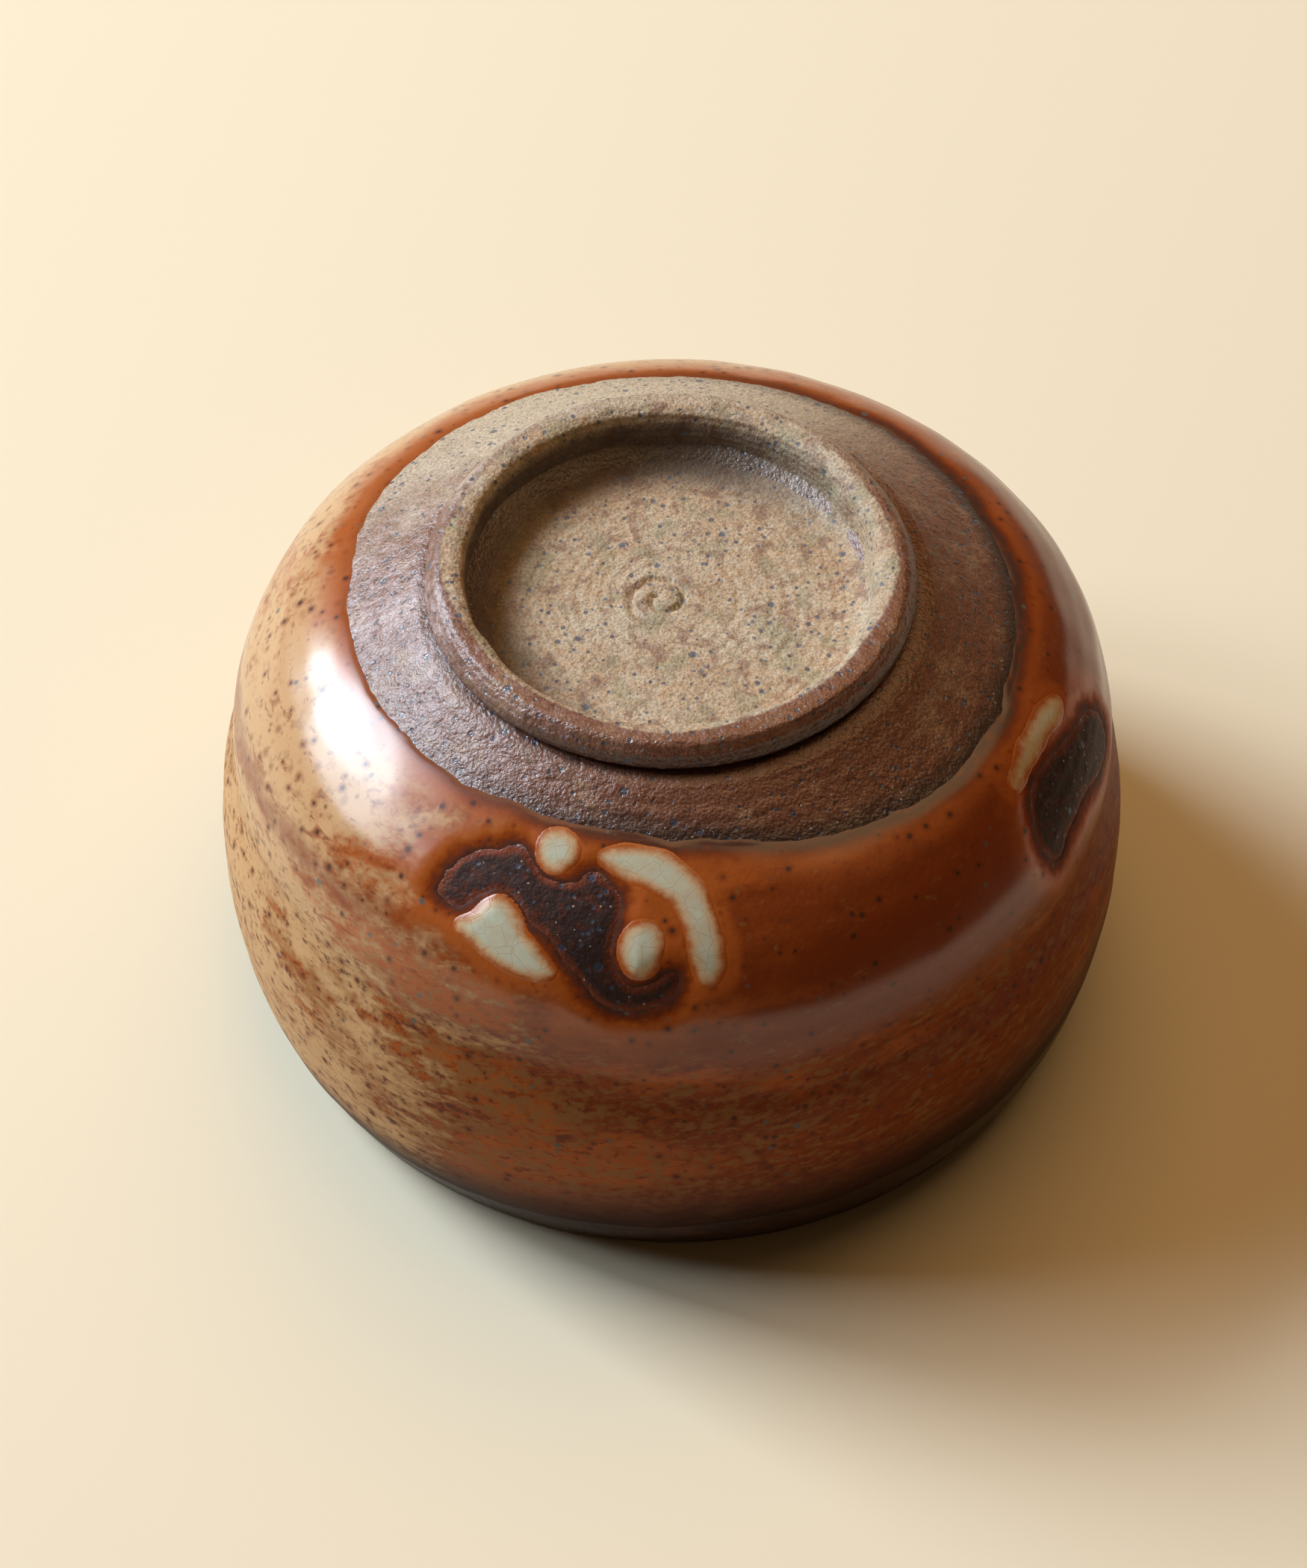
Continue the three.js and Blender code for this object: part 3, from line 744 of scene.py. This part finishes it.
def lining_shader():
    """The lining: the same feldspar glaze, creamier where it ran down and gathered."""
    tint = bpy.context.scene.tea_bowl_glaze
    m = Shader("inside_glaze")
    cloud = m.noise(9, 4, 0.6, m.stretched(1, 1, 2.0), 0.5)
    streak = m.noise(12, 3, 0.6, m.stretched(1, 1, 4.0, (3, 7, 1)), 0.6)
    fine = m.noise(1.2, 3, 0.6)
    skin = m.mix((cloud * 0.6 + streak * 0.4 + fine * 0.1).step(0.42, 0.62), tint.orange, tint.cream)
    skin = m.mix(streak.step(0.42, 0.30) * 0.6, skin, tint.rust)
    skin = m.mix(m.spots(2.9, 0.3, 0.45, 0.14) * 0.8, skin, tint.speck)
    skin = m.mix((m.number("band") + (cloud - 0.5) * 3).step(2.0, 0.0), skin, tint.umber)
    skin_bump = m.bump(m.noise(0.8, 2, 0.5) + fine * 0.3, 0.00008, 0.8)
    return m.finish(Base_Color=skin, Roughness=0.25 + (fine - 0.5) * 0.1, Normal=skin_bump,
                    Specular_IOR_Level=0.55)


# ---------------------------------------------------------------- pieces


def spaced(*stretches):
    """Distances along the meridian: each stretch is (from, to, step)."""
    parts = [np.linspace(a, b, max(2, round(abs(b - a) / step) + 1)) for a, b, step in stretches]
    return np.concatenate([parts[0], *[part[1:] for part in parts[1:]]])


def spiral_depth(x, y, radius):
    """From 0 to 1: how deep a plain spiral groove is at a place in the foot well."""
    first_lap, last_lap = 0.35, 1.75
    width = 0.55 * MM
    r = np.hypot(x, y)
    turn = np.arctan2(y, x)
    pitch = radius / last_lap
    lap = r / pitch - turn / (2 * np.pi)
    off = np.abs(lap - np.round(lap)) * pitch
    whole = np.round(lap) + turn / (2 * np.pi)
    return smoothstep(width - off, 0, width) * (whole > first_lap) * (whole < last_lap)


def grainy(points, height):
    """Coarse and fine sand grains."""
    coarse, fine = lattice_noise(points, 1.3 * MM, 21), lattice_noise(points, 0.7 * MM, 22)
    return height * (0.65 * coarse + 0.45 * fine)


def painted_well_shade(b, share):
    """Painted shade in the corner between the foot well and its wall, darkest at the back left, where the
    wall's shadow falls.
    """
    return share * smoothstep(np.cos(b + 2.3), -0.55, 0.65)


def well_floor():
    """The height of the clay in the foot well."""
    co = vertices_of("bowl_body")
    middle = np.hypot(co[:, 0], co[:, 1]) < 0.1 * MM
    return co[middle, 2].max() - 0.4 * MM


class BOWL_OT_body(bpy.types.Operator):
    """The thrown clay shell: bare round the foot, in the foot well and in the finger marks"""

    bl_idname = "tea_bowl.body"
    bl_label = "Clay body"

    def execute(self, context):
        clay = context.scene.tea_bowl_clay
        fine_from = meridian.outside_at(44 * MM)
        walls = spaced((0, fine_from, 4 * MM), (fine_from, meridian.end, 0.42 * MM))
        foot_low, foot_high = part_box("foot_ring")
        seat_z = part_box("bowl_body")[1].z
        floor_z = well_floor()
        seat_r = np.interp(meridian.end, meridian.s, meridian.r)
        centre = Vector(((foot_low.x + foot_high.x) / 2, 0))
        well = spaced((seat_r - 0.4 * MM, 23.6 * MM, 2.2 * MM), (23.6 * MM, 0, 0.42 * MM))[1:]
        b, row, faces = ring_grid(len(walls) + len(well), 560)
        on_wall = row < len(walls)
        s = np.r_[walls, well][row]
        points = np.empty((len(row), 3))
        flat = surface(b[on_wall], s[on_wall], SEAM)
        window = np.full(len(points), -FAR)
        window[on_wall] = window_distance(surface(b[on_wall], s[on_wall], SEAM + COAT))
        pool = pool_distance(surface(b[on_wall], s[on_wall], SEAM + COAT))
        raised = smoothstep(window[on_wall], -2.0 * MM, 1.0 * MM) * smoothstep(-pool, -0.4 * MM, 0.9 * MM)
        points[on_wall] = surface(b[on_wall], s[on_wall], SEAM * 0.8 + 0.35 * MM * raised)
        r = s[~on_wall]
        turned = b[~on_wall]
        x, y = r * np.sin(turned), -r * np.cos(turned)
        dish = 0.3 * MM * (1 - (r / (22 * MM)) ** 2)
        z = np.where(r > 24 * MM, seat_z, floor_z - 0.15 * MM + np.maximum(dish, 0))
        points[~on_wall] = np.stack([x, y, z], 1)
        near_foot = on_wall & (s > fine_from)
        on_floor = ~on_wall
        lines = np.sin(s / (0.33 * MM) + 2 * lattice_noise(points, 14 * MM, 23))
        outward = flat - surface(b[on_wall], s[on_wall], 0)
        outward /= np.linalg.norm(outward, axis=1)[:, None]
        lines *= 0.5 + 0.5 * lattice_noise(points, 9 * MM, 24)
        rings = np.sin(s / (0.24 * MM) + b + 1.5 * lattice_noise(points, 11 * MM, 25))
        relief = grainy(points, clay.grain) + clay.turning * lines + on_floor * 0.07 * MM * rings
        points[on_wall] += outward * (relief * near_foot)[on_wall][:, None]
        cut = np.zeros(len(points))
        cut[on_floor] = spiral_depth(points[on_floor, 0] - centre.x + 1.0 * MM, points[on_floor, 1],
                                     clay.mark_radius)
        points[on_floor, 2] += (relief * 0.8 - clay.mark_depth * cut)[on_floor]
        bare = np.full(len(points), FAR / MM)
        bare[on_wall] = -foot_edge_distance(b[on_wall], s[on_wall], flat) / MM
        inside = smoothstep(24 * MM - np.hypot(points[:, 0] - centre.x, points[:, 1]), 0, 2 * MM) * on_floor
        out = np.hypot(points[:, 0] - centre.x, points[:, 1])
        # Painted shade in the corner of the foot well, darkest at the back left.
        painted_shade = painted_well_shade(b, smoothstep(out, 16.5 * MM, 23 * MM)) * on_floor
        numbers = {"edge": bare, "inside": inside, "window": window / MM, "painted_shade": painted_shade}
        new_piece("clay_body", points, faces, numbers, clay_shader("bare_clay"), ["bowl_body"])
        return {"FINISHED"}


class BOWL_OT_foot(bpy.types.Operator):
    """The foot ring, with its uneven tread, steep inside wall and undercut root"""

    bl_idname = "tea_bowl.foot"
    bl_label = "Foot ring"

    def execute(self, context):
        clay = context.scene.tea_bowl_clay
        low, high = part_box("foot_ring")
        root, base, top = (high.x - low.x) / 2 / MM, low.z / MM, high.z / MM
        centre_x = (low.x + high.x) / 2
        floor = well_floor() / MM
        section = through([
            (root - 1.6, base - 0.9), (root - 0.75, base + 0.05), (root - 0.1, base + 1.0),
            (root - 0.25, base + 2.2), (root - 0.95, top - 0.75), (root - 1.6, top - 0.12),
            (root - 2.6, top + 0.0), (root - 3.8, top - 0.08), (root - 4.7, top - 0.55),
            (root - 5.15, top - 1.6), (root - 5.45, top - 3.2), (root - 5.9, floor + 1.2),
            (root - 6.9, floor + 0.3), (root - 8.8, floor - 0.15), (root - 10.4, floor - 0.6)], 84) * MM
        b, row, faces = ring_grid(len(section), 640)
        r, z = section[row].T
        ring = np.stack([np.cos(b), np.sin(b), np.zeros(len(b))], 1)
        high_up = smoothstep(z, (base + 0.5) * MM, (top - 0.6) * MM)
        loose = lambda cell, seed: lattice_noise(ring * 30 * MM, cell * MM, seed)
        r = r + high_up * (0.30 * loose(14, 31) + 0.12 * loose(4, 32)) * MM
        inner = smoothstep(r, (root - 3.0) * MM, (root - 5.5) * MM)
        r = r + inner * (0.35 * loose(11, 33) + 0.15 * loose(4, 37)) * MM
        z = z + high_up * (0.16 * loose(18, 34) + 0.08 * loose(5, 35)) * MM - high_up * 0.12 * MM
        points = np.stack([r * np.sin(b) + centre_x, -r * np.cos(b), z], 1)
        slope = np.gradient(section, axis=0)
        slope /= np.hypot(*slope.T)[:, None]
        nr, nz = slope[row, 1], -slope[row, 0]
        relief = grainy(points, clay.grain * 1.1) + 0.04 * MM * np.sin(z / (0.14 * MM) + 3 * loose(20, 36))
        relief *= 1 - smoothstep((base + 0.1) * MM - z, 0, 0.5 * MM)
        points += relief[:, None] * np.stack([nr * np.sin(b), -nr * np.cos(b), nz], 1)
        pale = lattice_noise(ring * 30 * MM, 16 * MM, 38) * 0.9
        middle = (root - 3.1 + pale - 0.9 * np.cos(b - 0.3)) * MM
        inside = smoothstep(middle - r, -0.9 * MM, 0.9 * MM)
        # Painted shade: the foot ring's inside wall is darker at the back left, where the well is in shadow.
        painted_shade = painted_well_shade(b, inner * smoothstep((top - 0.9) * MM - z, 0, 1.6 * MM))
        outer = smoothstep(r, (root - 2.2) * MM, (root - 1.2) * MM)
        # Painted shade on the foot ring's outer wall near its root, towards the front right.
        painted_root_shade = smoothstep((base + 3.4) * MM - z, 0, 2.2 * MM) * smoothstep(np.cos(b - 0.5), -0.2, 0.6)
        painted_shade = np.maximum(painted_shade, 0.9 * outer * painted_root_shade)
        far = np.full(len(points), FAR / MM)
        numbers = {"edge": far, "inside": inside, "window": -far, "painted_shade": painted_shade}
        material = clay_shader("foot_clay")
        new_piece("foot_ring_clay", points, faces, numbers, material, ["foot_ring"])
        return {"FINISHED"}


class BOWL_OT_outer_glaze(bpy.types.Operator):
    """The red glaze on the outside, thinning out at the finger marks and at its wavy line near the foot"""

    bl_idname = "tea_bowl.outer_glaze"
    bl_label = "Outer glaze"

    def execute(self, context):
        glaze = context.scene.tea_bowl_glaze
        rows = 150
        b, row, faces = ring_grid(rows, 640)
        start, stop = band_line(b) - 3 * MM, glaze_line(b) + 2.2 * MM
        s = start + (stop - start) * row / (rows - 1)
        flat = surface(b, s, SEAM + COAT)
        foot = foot_edge_distance(b, s, flat)
        window = -window_distance(flat)
        edge = np.minimum(foot, window)
        pool = pool_distance(flat)
        band = s - band_line(b)
        ripple = glaze.ripple * lattice_noise(flat, 5 * MM, 41)
        ripple *= smoothstep(edge, 0, 2 * MM) * smoothstep(-pool, -0.5 * MM, 1.5 * MM)
        lift = coat_lift(b, s, window) + ripple + np.minimum(edge, 0) * 0.5
        lift -= 0.5 * MM * smoothstep(-band, -0.5 * MM, 2.5 * MM) + 0.2 * MM * smoothstep(pool, 0, 0.8 * MM)
        points = surface(b, s, lift)
        numbers = {"edge": edge, "foot": foot, "window": window, "pool": -pool, "band": band,
                   "stripe": stripe_distance(b, s)}
        numbers = {key: values / MM for key, values in numbers.items()}
        keep = (edge > -0.9 * MM) & (pool < 1.2 * MM)
        points, faces, numbers = trimmed(points, faces, numbers, keep)
        new_piece("red_glaze_coat", points, faces, numbers, coat_shader(), ["outer_glaze"])
        return {"FINISHED"}


class BOWL_OT_pools(bpy.types.Operator):
    """The pale pools and drops of glaze that gathered round the finger marks"""

    bl_idname = "tea_bowl.pools"
    bl_label = "Glaze pools"

    def execute(self, context):
        glaze = context.scene.tea_bowl_glaze
        material = pool_shader()
        for name, (mark, outline) in POOLS.items():
            low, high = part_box(name)
            co = vertices_of(name)
            turn = np.arctan2(co[:, 0], -co[:, 1])
            s = meridian.below(co)
            margin = 2.0 * MM
            radius = np.hypot(co[:, 0], co[:, 1]).mean()
            b_low, b_high = turn.min() - margin / radius, turn.max() + margin / radius
            s_low, s_high = s.min() - margin, s.max() + margin
            across = round((b_high - b_low) * radius / (0.2 * MM))
            along = round((s_high - s_low) / (0.2 * MM))
            bb, ss = np.meshgrid(np.linspace(b_low, b_high, across), np.linspace(s_low, s_high, along))
            b, s = bb.ravel(), ss.ravel()
            flat = surface(b, s, SEAM + COAT)
            inside = nearest([(mark, outline)], flat) + wander(flat, 3.0 * MM, 0.25 * MM, 13) + POOL_SPREAD
            window = -window_distance(flat)
            dome = glaze.rise * (1 - np.exp(-np.maximum(inside, 0) / (0.8 * MM)))
            lift = coat_lift(b, s, window) + dome + np.minimum(inside, 0) * 0.5
            points = surface(b, s, lift)
            i = (np.arange(along - 1)[:, None] * across + np.arange(across - 1)).ravel()
            faces = np.stack([i, i + 1, i + 1 + across, i + across], 1)
            points, faces, numbers = trimmed(points, faces, {"inside": inside / MM}, inside > -0.7 * MM)
            new_piece(name + "_surface", points, faces, numbers, material, [name])
        return {"FINISHED"}


class BOWL_OT_lip(bpy.types.Operator):
    """The iron glaze over the lip, dipped at a slant"""

    bl_idname = "tea_bowl.lip"
    bl_label = "Iron lip"

    def execute(self, context):
        rows = 90
        b, row, faces = ring_grid(rows, 480)
        inner_edge = meridian.lip - 12 * MM
        start, stop = inner_edge, band_line(b) + 1.5 * MM
        s = start + (stop - start) * row / (rows - 1)
        flat = place(b, s, SEAM + COAT)
        outer = band_line(b) - s + wander(flat, 4 * MM, 0.5 * MM, 51)
        inner = s - inner_edge - 1.2 * MM + wander(flat, 4 * MM, 0.6 * MM, 53)
        band = np.minimum(outer, inner)
        lift = SEAM * 0.8 + COAT + 0.06 * MM * lattice_noise(flat, 5 * MM, 55) * smoothstep(band, 0, 3 * MM)
        lift += 0.1 * MM * smoothstep(band, 0, 4 * MM) - 0.02 * MM + np.minimum(band, 0) * 0.5
        points = surface(b, s, lift)
        points[:, 2] = np.maximum(points[:, 2], 0.0)
        rim = smoothstep(3.0 * MM - np.abs(s - meridian.lip), 0, 2 * MM)
        numbers = {"band": band / MM, "rim": rim}
        new_piece("iron_lip_band", points, faces, numbers, lip_shader(), ["lip_glaze"])
        return {"FINISHED"}


class BOWL_OT_lining(bpy.types.Operator):
    """The glaze inside the bowl, with the spiral that the thrower's fingers left"""

    bl_idname = "tea_bowl.lining"
    bl_label = "Lining"

    def execute(self, context):
        rows = 150
        b, row, faces = ring_grid(rows, 360)
        end = meridian.lip - 10 * MM
        s = end * (row / (rows - 1)) ** 0.9
        flat = place(b, s, SEAM + COAT)
        spiral = 0.25 * MM * np.sin(s / (1.1 * MM) - b) * smoothstep(s, 3 * MM, 12 * MM)
        spiral *= smoothstep(end - s, 0, 10 * MM)
        ripple = 0.08 * MM * lattice_noise(flat, 6 * MM, 61)
        lift = SEAM + COAT + spiral + ripple - 0.3 * MM * smoothstep(s, end - 2 * MM, end)
        points = place(b, s, lift)
        new_piece("lining_glaze", points, faces, {"band": (end - s) / MM}, lining_shader(),
                  ["inner_glaze"])
        return {"FINISHED"}


# ---------------------------------------------------------------- stage


def area_light(name, bearing, height, reach, power, width, tall, tint):
    """A soft rectangular light, at a bearing from the back towards the left, looking at the bowl."""
    turn, rise = math.radians(bearing), math.radians(height)
    away = Vector((-math.sin(turn) * math.cos(rise), math.cos(turn) * math.cos(rise), math.sin(rise)))
    data = bpy.data.lights.new(name, "AREA")
    data.shape = "RECTANGLE"
    data.size, data.size_y = width, tall
    data.energy, data.color = power, tint
    lamp = bpy.data.objects.new(name, data)
    lamp.location = away * reach + Vector((0, 0, 0.04))
    lamp.rotation_euler = away.to_track_quat("Z", "Y").to_euler()
    bpy.context.scene.collection.objects.link(lamp)


class BOWL_OT_stage(bpy.types.Operator):
    """The camera, the pale floor and the window light"""

    bl_idname = "tea_bowl.stage"
    bl_label = "Stage"

    def execute(self, context):
        scene = context.scene
        stage = scene.tea_bowl_stage
        data = bpy.data.cameras.new("camera")
        data.lens, data.sensor_width, data.clip_start = stage.lens, 36.0, 0.01
        camera = bpy.data.objects.new("camera", data)
        turn = Matrix.Rotation(stage.yaw, 4, "Z") @ Matrix.Rotation(math.pi / 2 - stage.pitch, 4, "X")
        camera.matrix_world = (Matrix.Translation((0, -stage.reach, stage.height)) @ turn
                               @ Matrix.Rotation(stage.roll, 4, "Z"))
        scene.collection.objects.link(camera)
        scene.camera = camera
        floor = bpy.data.meshes.new("floor")
        half = 3.0
        corners = [(-half, -half, 0), (half, -half, 0), (half, half, 0), (-half, half, 0)]
        floor.from_pydata(corners, [], [(0, 1, 2, 3)])
        finish = {"Base_Color": tuple(stage.floor), "Roughness": 0.6, "Specular_IOR_Level": 0.2}
        floor.materials.append(Shader("pale_floor").finish(**finish))
        piece = bpy.data.objects.new("floor", floor)
        scene.collection.objects.link(piece)
        area_light("window", 63, 36, 2.2, stage.key, 0.80, 1.00, stage.daylight)
        area_light("side_window", 87, 36, 2.2, stage.side, 0.50, 0.90, stage.daylight)
        area_light("ceiling", -20, 66, 1.6, stage.ceiling, 1.6, 1.2, stage.bounce)
        world = bpy.data.worlds.new("soft_light")
        world.use_nodes = True
        world.node_tree.nodes["Background"].inputs["Color"].default_value = (*stage.bounce, 1)
        world.node_tree.nodes["Background"].inputs["Strength"].default_value = stage.fill
        scene.world = world
        scene.view_settings.view_transform = "Standard"
        return {"FINISHED"}


# ---------------------------------------------------------------- add-on


class BOWL_PT_panel(bpy.types.Panel):
    """Lists the pieces of the bowl and its settings"""

    bl_idname = "BOWL_PT_panel"
    bl_label = "Matcha bowl"
    bl_space_type = "VIEW_3D"
    bl_region_type = "UI"
    bl_category = "Matcha bowl"

    def draw(self, context):
        for operator in OPERATORS:
            self.layout.operator(operator.bl_idname)
        for name in SETTINGS:
            box = self.layout.box()
            group = getattr(context.scene, name)
            for key in group.bl_rna.properties.keys():
                if key not in ("rna_type", "name"):
                    box.prop(group, key)


OPERATORS = [BOWL_OT_body, BOWL_OT_foot, BOWL_OT_outer_glaze, BOWL_OT_pools, BOWL_OT_lip, BOWL_OT_lining,
             BOWL_OT_stage]
SETTINGS = {"tea_bowl_clay": BOWL_PG_clay, "tea_bowl_glaze": BOWL_PG_glaze, "tea_bowl_stage": BOWL_PG_stage}


def register():
    for cls in [*SETTINGS.values(), *OPERATORS, BOWL_PT_panel]:
        bpy.utils.register_class(cls)
    for name, group in SETTINGS.items():
        setattr(bpy.types.Scene, name, bpy.props.PointerProperty(type=group))


def unregister():
    for name in SETTINGS:
        delattr(bpy.types.Scene, name)
    for cls in reversed([*SETTINGS.values(), *OPERATORS, BOWL_PT_panel]):
        bpy.utils.unregister_class(cls)


def main():
    register()
    for operator in OPERATORS:
        group, name = operator.bl_idname.split(".")
        getattr(getattr(bpy.ops, group), name)()


if __name__ == "__main__":
    main()
